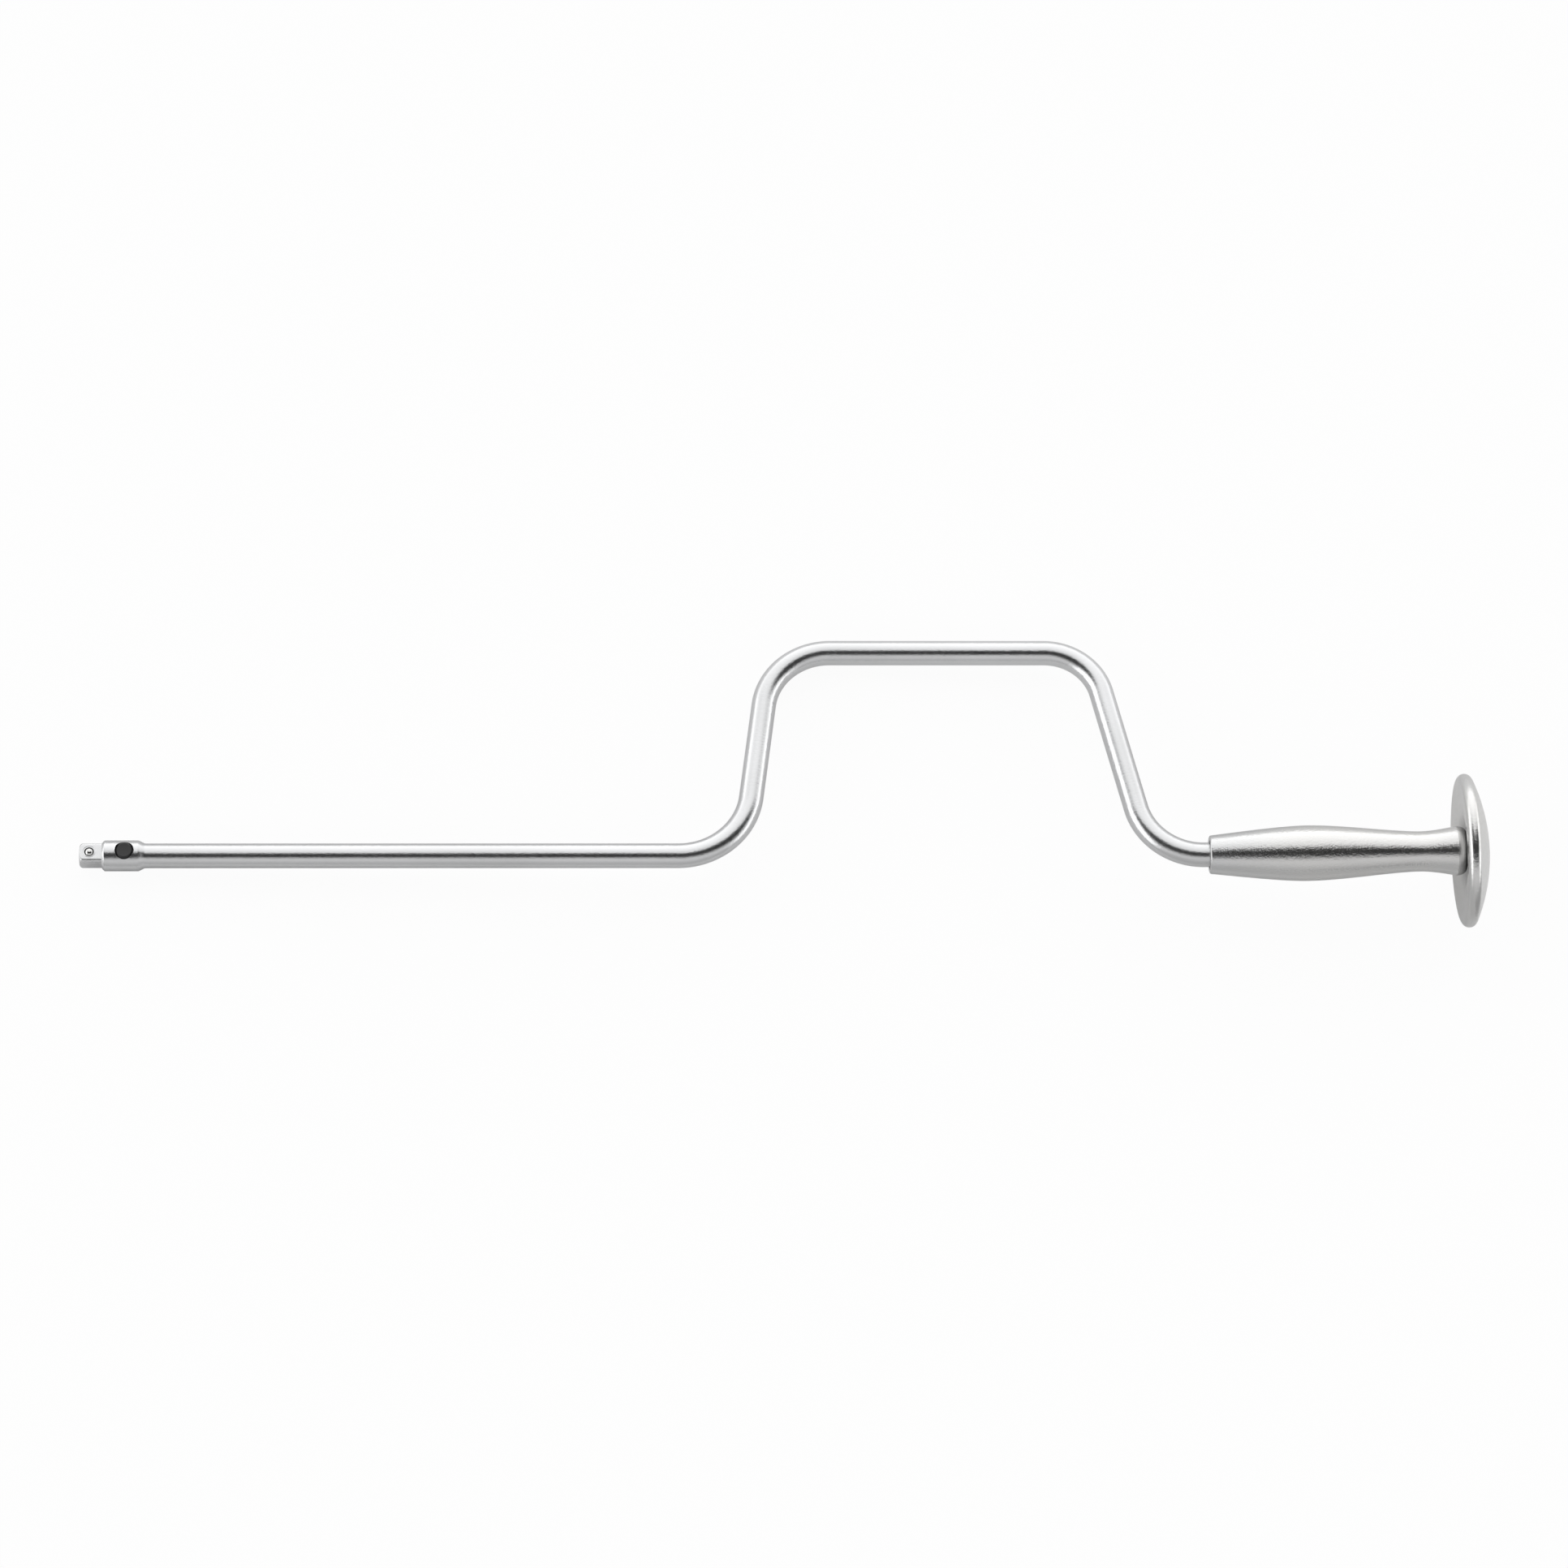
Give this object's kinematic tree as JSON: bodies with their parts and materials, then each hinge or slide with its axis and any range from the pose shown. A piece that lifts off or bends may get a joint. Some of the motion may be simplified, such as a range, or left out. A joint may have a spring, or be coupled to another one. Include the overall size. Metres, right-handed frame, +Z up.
{
  "type": "speed brace",
  "caption": "Cranked speed brace with a square quick-release drive, lock ball and push button, and a freely turning waisted grip sleeve with a domed palm disc.",
  "frame": {"origin": "centre of the bounding box's base, on the floor that the tool lies on", "axes": "+X along the tool from the drive tip to the palm disc, +Y to the side the crank stands out to, +Z up from the floor; the tool lies on its collar, its crank and the rim of its palm disc"},
  "size_m": [0.456, 0.0996, 0.0498],
  "materials": {
    "satin_chrome": "satin chrome plate",
    "bright_steel": "bright ground steel",
    "spring_steel": "drawn spring steel",
    "bush_bronze": "sintered bronze",
    "black_button": "black, satin"
  },
  "bodies": {
    "crank": {"crank_bar": "satin_chrome", "tip_plug": "bright_steel", "rod_spring": "spring_steel", "thrust_washer": "bright_steel", "retaining_ring": "spring_steel"},
    "button": {"release_button": "black_button"},
    "rod": {"lock_rod": "bright_steel"},
    "ball": {"lock_ball": "bright_steel"},
    "grip": {"grip_sleeve": "satin_chrome", "front_bush": "bush_bronze", "rear_bush": "bush_bronze", "thrust_ball": "bright_steel", "palm_disc": "satin_chrome"}
  },
  "joints": [
    {"name": "button_press", "type": "slide", "parent": "crank", "child": "button", "axis": [0.0452, -0.1586, -0.9863], "range_m": [0, 0.0014], "stiffness_N_per_m": 1500, "springref_m": -0.0005},
    {"name": "rod_slide", "type": "slide", "parent": "crank", "child": "rod", "axis": [0.999, 0, 0.0458], "range_m": [0, 0.0014], "deforming": ["rod_spring"]},
    {"name": "ball_retract", "type": "slide", "parent": "crank", "child": "ball", "axis": [0.0452, -0.1586, -0.9863], "range_m": [0, 0.0007]},
    {"name": "grip_spin", "type": "hinge", "parent": "crank", "child": "grip", "pos_m": [0.11826, -0.02665, 0.0205], "axis": [0.9989, 0.0172, 0.043], "continuous": true}
  ],
  "couplings": [
    {"joint": "rod_slide", "follows": "button_press", "ratio": 1},
    {"joint": "ball_retract", "follows": "button_press", "ratio": 0.5}
  ]
}
